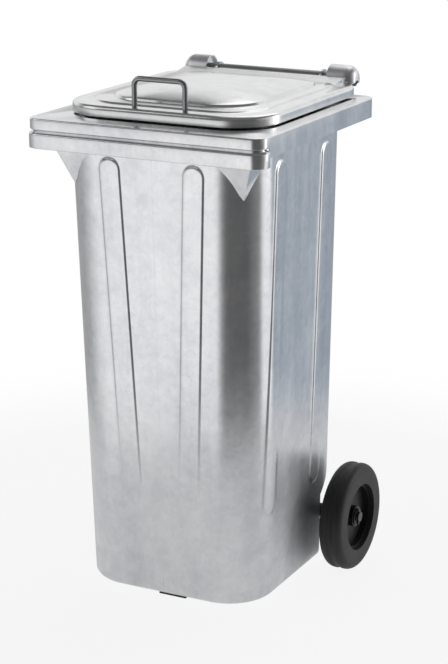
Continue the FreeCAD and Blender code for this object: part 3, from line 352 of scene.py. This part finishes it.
# Tapered body with pressed beads. Pairs are values at the base and at the top. The seam's ends are given
# by their depth, then height and run of the low end and of the high end. In the ring counts, 0 stands
# for a stretch over a bead, and levels are (from, to, number of rings).
bodyShape = {"half": (189, 202.5), "front": (66, 37), "rear": (472, 479), "corner": (92, 88),
             "base": 31.0, "top": 936.75, "round": 14.0, "roundSteps": 6, "floorInsets": (70, 24),
             "panTop": 51, "sheet": 1.25, "beadRadius": 23.5, "beadHeight": 2.4, "beadSlope": 6.0,
             "beadTop": 849.5, "frontFoot": 245.5, "rearFoot": 295.5, "sideFoot": 211.5,
             "crossTop": 86.5, "crossFoot": 62.0, "sideMiddle": 261.0, "sidePitch": 198.0,
             "sideLean": 22.0, "frontReach": 130, "rearReach": 400, "crossReach": 125, "sideReach": 130,
             "recess": 94.75, "recessWall": 150.0, "recessSlope": 90 / 98, "recessZone": (60, 265),
             "seamHalf": 3.0, "seamDepth": 0.2, "seamEnds": (0.9, 170.0, 100.0, 850.0, 60.0),
             "ringCounts": (3, 8, 0, 26, 0, 14, 0, 24, 0, 8, 3),
             "levels": ((31.0, 51, 2), (51, 184, 10), (184, 262, 30), (262, 268, 2), (268, 305, 14),
                        (305, 840, 26), (840, 878, 16), (878, 936.75, 5))}


def bodyOutline(height):
    t = (height - bodyShape["base"]) / (bodyShape["top"] - bodyShape["base"])
    half, front, rear, corner = (mix(*bodyShape[key], t) for key in ("half", "front", "rear", "corner"))
    return half, frontPlane + front, frontPlane + rear, corner


def beadFoot(kind):
    return bodyShape[{"front": "frontFoot", "rear": "rearFoot"}.get(kind, "sideFoot")]


# The middle of a bead at a height: x on the front and rear, y on the sides.
def beadMiddle(kind, height):
    t = (bodyShape["beadTop"] - height) / (bodyShape["beadTop"] - beadFoot(kind))
    if kind in ("front", "rear"):
        return mix(bodyShape["crossTop"], bodyShape["crossFoot"], t)
    sign = -1 if kind == "sideFront" else 1
    middle = frontPlane + bodyShape["sideMiddle"] + sign * bodyShape["sidePitch"] / 2
    return middle - bodyShape["sideLean"] * t


# How far along an outline its side reaches a given y.
def sideDistance(outline, y):
    half, front, rear, corner = outline[:4]
    across, arc, along = outlineLengths(outline)[:3]
    if y < front + corner:
        return across + corner * math.acos((front + corner - y) / corner)
    if y > rear - corner:
        return across + arc + along + corner * math.asin(min(1.0, (y - rear + corner) / corner))
    return across + arc + y - front - corner


def beadRise(kind, u, height):
    head, foot = bodyShape["beadTop"], beadFoot(kind)
    top, low = beadMiddle(kind, head), beadMiddle(kind, foot)
    du, dz = low - top, foot - head
    share = max(0.0, min(1.0, ((u - top) * du + (height - head) * dz) / (du * du + dz * dz)))
    away = math.hypot(u - top - du * share, height - head - dz * share)
    return bodyShape["beadHeight"] * smoothStep((bodyShape["beadRadius"] - away) / bodyShape["beadSlope"])


beadShares = [0, 0.02, 0.04, 0.06, 0.08, 0.1, 0.15, 0.22, 0.3, 0.4, 0.5]
beadShares += [1 - share for share in beadShares[-2::-1]]


def bodyRing(height, inset=0.0):
    wall = bodyOutline(max(height, bodyShape["base"]))
    edge = bodyShape["beadRadius"]
    total = sum(outlineLengths(wall))
    front, rear = beadMiddle("front", height), beadMiddle("rear", height)
    seam = bodyShape["seamHalf"]
    marks = [0, seam, front - edge, front + edge]
    for kind in ("sideFront", "sideRear"):
        y = beadMiddle(kind, height)
        marks += [sideDistance(wall, y - edge), sideDistance(wall, y + edge)]
    marks += [total - rear - edge, total - rear + edge, total - seam, total]
    places = []
    for number, count in enumerate(bodyShape["ringCounts"]):
        shares = [i / count for i in range(count)] if count else beadShares[:-1]
        places += [mix(marks[number], marks[number + 1], share) for share in shares]
    places.append(total)
    ring = []
    for place in places:
        x, y, nx, ny = outlinePoint(wall, place)
        rise = 0.0
        if height > bodyShape["base"]:
            if y < frontPlane + bodyShape["frontReach"] and x < bodyShape["crossReach"]:
                rise = beadRise("front", x, height)
            elif y > frontPlane + bodyShape["rearReach"] and x < bodyShape["crossReach"]:
                rise = beadRise("rear", x, height)
            elif x > bodyShape["sideReach"]:
                rise = max(beadRise("sideFront", y, height), beadRise("sideRear", y, height))
            if x < seam:
                depth, low, lowRun, high, highRun = bodyShape["seamEnds"]
                opened = smoothStep((low - height) / lowRun) + smoothStep((height - high) / highRun)
                rise -= (bodyShape["seamDepth"] + depth * opened) * (1 - x / seam) ** 2
        ring.append((x + nx * (rise - inset), y + ny * (rise - inset), height))
    return ring


def stepsBetween(stops):
    heights = []
    for (low, high, count) in stops:
        heights += [low + (high - low) * i / count for i in range(count)]
    return heights + [stops[-1][1]]


base, bend, panTop = bodyShape["base"], bodyShape["round"], bodyShape["panTop"]
bodyRings = [bodyRing(base - bend, inset) for inset in bodyShape["floorInsets"]]
for step in range(bodyShape["roundSteps"]):
    turn = math.pi / 2 * step / bodyShape["roundSteps"]
    bodyRings.append(bodyRing(base - bend * math.cos(turn), bend * (1 - math.sin(turn))))
bodyRings.append(bodyRing(base + 0.001))    # just above the base, where the seam begins
for height in stepsBetween(bodyShape["levels"])[1:]:
    bodyRings.append(bodyRing(height))
shell = sweepRings(bodyRings, capped=True)
recess, recessWall, recessSlope = (bodyShape[key] for key in ("recess", "recessWall", "recessSlope"))
zoneY, zoneZ = bodyShape["recessZone"]


def lowRear(middle):
    return middle.y > zoneY and middle.z < zoneZ


cutAcross(shell, (0, recess, 0), (0, 1, 0), lowRear)
cutAcross(shell, (0, recess, recessWall), (0, -recessSlope, 1), lowRear)
dropFaces(shell, lambda c: c.y > recess and c.z < recessWall + recessSlope * (c.y - recess))
for name, node, test in (("bodyPanelRight", "body_panel_right", lambda c: c.z < panTop or c.x < 0),
                         ("bodyPanelLeft", "body_panel_left", lambda c: c.z < panTop or c.x > 0),
                         ("basePan", "base_pan", lambda c: c.z > panTop)):
    part = shell.copy()
    dropFaces(part, test)
    thicken(part, bodyShape["sheet"])
    finishPiece(name, part, "bin", sheetZinc, node)
shell.free()
print("stage: body shell")

# Rim collar with its turned-up mouth, and the grooved band along the front
collarOutline = (240, frontPlane, frontPlane + 506, 25)
mouthOutline = (194.5, frontPlane + 66, frontPlane + 471, 70)
collarShape = {"skirt": 900, "bandTop": 920, "top": 938, "edge": 3.0,
               "lip": 946, "bandEnd": frontPlane + 33, "cutZone": 40, "sheet": 1.25}
mouthRoll = ((-3, 0), (-1, 0.9), (0, 2.5))      # (inset from the mouth, rise over the top)
collarSpots = outlineSpots((12, 10, 24, 10, 12))


# A rounded edge from an upright wall to a flat top.
def arcRings(outline, height, radius, spots, steps=4):
    rings = []
    for step in range(steps + 1):
        turn = math.pi / 2 * step / steps
        rings.append(ringOf(insetOutline(outline, radius * (1 - math.cos(turn))),
                            height - radius * (1 - math.sin(turn)), spots))
    return rings


rimRings = [ringOf(collarOutline, collarShape["skirt"], collarSpots),
            ringOf(collarOutline, collarShape["bandTop"], collarSpots)]
rimRings += arcRings(collarOutline, collarShape["top"], collarShape["edge"], collarSpots)
for inset, rise in mouthRoll:
    rimRings.append(ringOf(insetOutline(mouthOutline, inset), collarShape["top"] + rise, collarSpots))
rimRings.append(ringOf(mouthOutline, collarShape["lip"], collarSpots))
rim = sweepRings(rimRings)
bandEnd, bandTop = collarShape["bandEnd"], collarShape["bandTop"]
cutAcross(rim, (0, bandEnd, 0), (0, 1, 0),
          lambda c: c.z < bandTop and abs(c.y - bandEnd) < collarShape["cutZone"])
dropFaces(rim, lambda c: c.y < bandEnd and c.z < bandTop)
thicken(rim, collarShape["sheet"])
finishPiece("rimCollar", rim, "bin", rimZinc, "rim_collar")

# The band's section, from its top over the groove to its foot: (inset from the collar, height)
bandShape = ((0, 920), (0, 918.4), (0.8, 917.5), (5.2, 916.6), (6, 915.8), (5.6, 915), (-1.4, 910.2),
             (-2.3, 909.1), (-2.5, 908), (-2.5, 884.6), (-2.1, 883.5), (-1.1, 883), (9.5, 883))
band = sweepRings([ringOf(insetOutline(collarOutline, inset), z, collarSpots) for inset, z in bandShape])
cutAcross(band, (0, bandEnd, 0), (0, 1, 0), lambda c: abs(c.y - bandEnd) < collarShape["cutZone"])
dropFaces(band, lambda c: c.y > bandEnd)
thicken(band, collarShape["sheet"])
finishPiece("frontBand", band, "bin", rimZinc, "front_band", sharp=50)
print("stage: rim and band")

# Lid: skirt, two steps and a crowned middle
lidShape = {"outline": (209, frontPlane + 52, frontPlane + 504, 90, 44), "floor": 941.8, "top": 961.3,
            "edge": 8, "brim": 12, "ringCorners": (80, 34), "widestCorner": 0.75, "outerStep": 31,
            "innerStep": 58, "stepRun": 4, "outerRise": 3, "innerRise": 5.5, "stepRings": 6,
            "crown": 14, "crownInset": 165, "crownRings": 14, "sheet": 1.25}
lidSpots = outlineSpots((16, 10, 34, 10, 16))


# Corners run from the outline's at the edge to the rings' at the outer step, and stay within the ring.
def lidRing(inset, height):
    half, front, rear = lidShape["outline"][:3]
    share = min(1.0, inset / lidShape["outerStep"])
    corners = tuple(min(mix(*pair, share), lidShape["widestCorner"] * (half - inset))
                    for pair in zip(cornersOf(lidShape["outline"]), lidShape["ringCorners"]))
    return ringOf((half - inset, front + inset, rear - inset) + corners, height, lidSpots)


level = lidShape["top"]
lidRings = [lidRing(0, lidShape["floor"])] + arcRings(lidShape["outline"], level, lidShape["edge"], lidSpots)
lidRings.append(lidRing(lidShape["brim"], level))
for start, rise in ((lidShape["outerStep"], lidShape["outerRise"]),
                    (lidShape["innerStep"], lidShape["innerRise"])):
    for step in range(lidShape["stepRings"] + 1):
        t = step / lidShape["stepRings"]
        lidRings.append(lidRing(start + lidShape["stepRun"] * t, level + rise * smoothStep(t)))
    level += rise
inner = lidShape["innerStep"] + lidShape["stepRun"]
for step in range(1, lidShape["crownRings"] + 1):
    t = step / lidShape["crownRings"]
    lidRings.append(lidRing(mix(inner, lidShape["crownInset"], t),
                            level + lidShape["crown"] * (1 - (1 - t) ** 2)))
lid = sweepRings(lidRings)
edges = [e for e in lid.edges if len(e.link_faces) == 1 and all(v.co.z > level for v in e.verts)]
bmesh.ops.contextual_create(lid, geom=edges)
bmesh.ops.recalc_face_normals(lid, faces=lid.faces)
thicken(lid, lidShape["sheet"])
finishPiece("lidPanel", lid, "lid", lidZinc, "lid_panel")
print("stage: lid")

# Hoods of the hinge, closed and rounded at their outer ends
hoodShape = {"inner": 133, "outer": 188, "radius": 28, "round": 20, "roundSteps": 12, "tip": 0.02,
             "wrap": 225, "wrapStart": -25, "wrapSteps": 48, "sheet": 2,
             "axisY": frontPlane + 533, "axisZ": 962}
profile = [(hoodShape["inner"], hoodShape["radius"])]
for step in range(hoodShape["roundSteps"] + 1):
    turn = math.pi / 2 * step / hoodShape["roundSteps"]
    profile.append((hoodShape["outer"] - hoodShape["round"] * (1 - math.sin(turn)),
                    hoodShape["radius"] - hoodShape["round"] * (1 - math.cos(turn))))
profile.append((hoodShape["outer"], hoodShape["tip"]))
for sign, side in ((1, "Right"), (-1, "Left")):
    hood = lathe(profile, hoodShape["wrapSteps"], (0, hoodShape["axisY"], hoodShape["axisZ"]),
                 math.radians(hoodShape["wrap"]), math.radians(hoodShape["wrapStart"]))
    if sign < 0:
        bmesh.ops.scale(hood, vec=(-1, 1, 1), verts=hood.verts)
        bmesh.ops.reverse_faces(hood, faces=hood.faces)
    thicken(hood, hoodShape["sheet"])
    finishPiece("lidHood" + side, hood, "lid", castZinc, "lid_hood_" + side.lower())

# Tyres. The walls are radii on the flat side, and the groove gives (half width, depth) in the tread.
tyreShape = {"outer": 107.5, "walls": (67, 80, 84), "half": 24, "shoulder": 14, "shoulderSteps": 8,
             "groove": ((7, 0), (5.6, 0.5), (5, 1.8), (3, 2)), "roundSteps": 96, "sideways": 246,
             "axleY": frontPlane + 397}
half, outer, shoulder = tyreShape["half"], tyreShape["outer"], tyreShape["shoulder"]
halfProfile = [(half, radius) for radius in tyreShape["walls"]]
for step in range(tyreShape["shoulderSteps"] + 1):
    turn = math.pi / 2 * step / tyreShape["shoulderSteps"]
    halfProfile.append((half - shoulder * (1 - math.cos(turn)), outer - shoulder * (1 - math.sin(turn))))
halfProfile += [(x, outer - depth) for x, depth in tyreShape["groove"]]
tyreProfile = halfProfile + [(-x, r) for x, r in reversed(halfProfile)]
for sign, side in ((1, "right"), (-1, "left")):
    tyre = lathe(tyreProfile, tyreShape["roundSteps"],
                 (sign * tyreShape["sideways"], tyreShape["axleY"], outer))
    finishPiece("tyre" + side.capitalize(), tyre, "wheel_" + side, tyreRubber, "tyre_" + side,
                60)
print("stage: hoods and tyres")

# CAD nodes that stay in view get their finish
for node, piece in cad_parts.items():
    look = sheetZinc
    if node.startswith(("wheel_disc", "wheel_bush", "front_foot", "axle_spacer", "bar_cap")):
        look = discPlastic
    elif node.startswith(("lid_handle", "hinge_bar", "foot_screw")):
        look = rodZinc
    elif node.startswith(("axle", "washer")) and "bracket" not in node:
        look = axleSteel
    elif node.startswith("lid_lug"):
        look = castZinc
    elif node.startswith(("lid_", "hinge_ramp")):
        look = lidZinc
    piece.data.materials.clear()
    piece.data.materials.append(look)

# Floor, light and camera
stageLook = {"floorRadius": 1.5, "fadeFrom": 0.75, "fadeTo": 1.45, "floorTone": 0.85, "cameraGlow": 0.88,
             "glossyGlow": 0.5, "wallsFrom": -0.06, "wallsTo": 0.12, "ceilingFrom": 0.4, "ceilingTo": 0.62,
             "ceilingTone": 0.15, "lampTarget": (0, 0, 0.55)}
bm = bmesh.new()
bmesh.ops.create_circle(bm, segments=96, radius=stageLook["floorRadius"], cap_ends=True)
floorMesh = bpy.data.meshes.new("floor")
bm.to_mesh(floorMesh)
bm.free()
floor = bpy.data.objects.new("floor", floorMesh)
bpy.context.scene.collection.objects.link(floor)
floorLook = bpy.data.materials.new("floorLook")
floorLook.use_nodes = True
tree = floorLook.node_tree
link = tree.links.new
shader = tree.nodes["Principled BSDF"]
shader.inputs["Base Color"].default_value = (*[stageLook["floorTone"]] * 3, 1)
shader.inputs["Roughness"].default_value = 0.8
glow = nodeOf(tree, "ShaderNodeEmission", {"Color": (1, 1, 1, 1), "Strength": 1.0})
lightPath = tree.nodes.new("ShaderNodeLightPath")
blend = tree.nodes.new("ShaderNodeMixShader")
mirrored = nodeOf(tree, "ShaderNodeMath", {1: stageLook["glossyGlow"]}, operation="MULTIPLY")
link(lightPath.outputs["Is Glossy Ray"], mirrored.inputs[0])
share = nodeOf(tree, "ShaderNodeMath", {1: stageLook["cameraGlow"]}, operation="MULTIPLY_ADD")
link(lightPath.outputs["Is Camera Ray"], share.inputs[0])
link(mirrored.outputs[0], share.inputs[2])
link(share.outputs[0], blend.inputs["Fac"])
link(shader.outputs["BSDF"], blend.inputs[1])
link(glow.outputs["Emission"], blend.inputs[2])
place = nodeOf(tree, "ShaderNodeTexCoord").outputs["Object"]
away = nodeOf(tree, "ShaderNodeVectorMath", operation="LENGTH")
link(place, away.inputs[0])
fade = nodeOf(tree, "ShaderNodeMapRange",
              {"From Min": stageLook["fadeFrom"], "From Max": stageLook["fadeTo"]},
              interpolation_type="SMOOTHSTEP")
link(away.outputs["Value"], fade.inputs["Value"])
clear = tree.nodes.new("ShaderNodeBsdfTransparent")
edge = tree.nodes.new("ShaderNodeMixShader")
link(fade.outputs["Result"], edge.inputs["Fac"])
link(blend.outputs["Shader"], edge.inputs[1])
link(clear.outputs["BSDF"], edge.inputs[2])
link(edge.outputs["Shader"], tree.nodes["Material Output"].inputs["Surface"])
floor.data.materials.append(floorLook)

# The room is white for the camera alone. Everything else sees its pale and dark walls by compass
# bearing, with -y at 0.5: one set near the horizon and one above it, under a dark ceiling.
world = bpy.data.worlds.new("studio")
bpy.context.scene.world = world
world.use_nodes = True
tree = world.node_tree
link = tree.links.new
background = tree.nodes["Background"]
lowWalls = ((0.0, (0.36, 0.4, 0.45)), (0.09, 0.4), (0.2, 0.42), (0.27, 0.5), (0.36, 0.85), (0.42, 1.0),
            (0.49, 1.0), (0.525, 0.3), (0.55, 0.12), (0.7, 0.12), (0.79, 0.3), (0.825, 1.0), (0.89, 1.0),
            (0.925, (0.36, 0.41, 0.47)), (1.0, (0.36, 0.4, 0.45)))
highWalls = ((0.0, 0.92), (0.2, 0.92), (0.28, 0.15), (0.5, 0.15), (0.56, 0.1), (0.7, 0.1), (0.78, 0.5),
             (0.84, 0.92), (1.0, 0.92))
direction = nodeOf(tree, "ShaderNodeSeparateXYZ")
link(nodeOf(tree, "ShaderNodeTexCoord").outputs["Generated"], direction.inputs["Vector"])
ahead = nodeOf(tree, "ShaderNodeMath", {1: -1.0}, operation="MULTIPLY")
link(direction.outputs["Y"], ahead.inputs[0])
bearing = nodeOf(tree, "ShaderNodeMath", operation="ARCTAN2")
link(direction.outputs["X"], bearing.inputs[0])
link(ahead.outputs[0], bearing.inputs[1])
turn = nodeOf(tree, "ShaderNodeMath", {1: 1 / math.tau, 2: 0.5}, operation="MULTIPLY_ADD")
link(bearing.outputs[0], turn.inputs[0])
rise = nodeOf(tree, "ShaderNodeMapRange",
              {"From Min": stageLook["wallsFrom"], "From Max": stageLook["wallsTo"]},
              interpolation_type="SMOOTHSTEP")
link(direction.outputs["Z"], rise.inputs["Value"])
walls = nodeOf(tree, "ShaderNodeMix", data_type="RGBA")
link(rise.outputs["Result"], walls.inputs["Factor"])
link(ramp(tree, turn.outputs[0], lowWalls), walls.inputs["A"])
link(ramp(tree, turn.outputs[0], highWalls), walls.inputs["B"])
ceiling = nodeOf(tree, "ShaderNodeMapRange",
                 {"From Min": stageLook["ceilingFrom"], "From Max": stageLook["ceilingTo"]},
                 interpolation_type="SMOOTHSTEP")
link(direction.outputs["Z"], ceiling.inputs["Value"])
room = nodeOf(tree, "ShaderNodeMix", {"B": (*[stageLook["ceilingTone"]] * 3, 1)}, data_type="RGBA")
link(ceiling.outputs["Result"], room.inputs["Factor"])
link(walls.outputs["Result"], room.inputs["A"])
lightPath = tree.nodes.new("ShaderNodeLightPath")
white = nodeOf(tree, "ShaderNodeMix", {"B": (1, 1, 1, 1)}, data_type="RGBA")
link(lightPath.outputs["Is Camera Ray"], white.inputs["Factor"])
link(room.outputs["Result"], white.inputs["A"])
link(white.outputs["Result"], background.inputs["Color"])
background.inputs["Strength"].default_value = 1.0

lamps = {"leftPanel": {"at": (-2.4, -1.6, 2.6), "size": (2.0, 2.0), "power": 12},
         "rightPanel": {"at": (2.5, 2.1, 1.2), "size": (0.7, 2.0), "power": 10},
         "topPanel": {"at": (0.0, 1.4, 2.8), "size": (1.8, 1.8), "power": 12}}
for name, lamp in lamps.items():
    light = bpy.data.lights.new(name, "AREA")
    light.shape = "RECTANGLE"
    light.size, light.size_y = lamp["size"]
    light.energy = lamp["power"]
    holder = bpy.data.objects.new(name, light)
    holder.location = lamp["at"]
    aim = Vector(stageLook["lampTarget"]) - Vector(lamp["at"])
    holder.rotation_euler = aim.to_track_quat("-Z", "Y").to_euler()
    bpy.context.scene.collection.objects.link(holder)

cameraShape = {"at": (1.6855, -3.21655, 1.561), "tilt": 73.684, "turn": 26.642, "lens": 104.88,
               "shift": (-0.0334, -0.0065)}
lens = bpy.data.cameras.new("camera")
lens.lens = cameraShape["lens"]
lens.shift_x, lens.shift_y = cameraShape["shift"]
camera = bpy.data.objects.new("camera", lens)
camera.location = cameraShape["at"]
camera.rotation_euler = (math.radians(cameraShape["tilt"]), 0, math.radians(cameraShape["turn"]))
bpy.context.scene.collection.objects.link(camera)
bpy.context.scene.camera = camera
bpy.context.scene.view_settings.view_transform = "Standard"

print("stage: done")
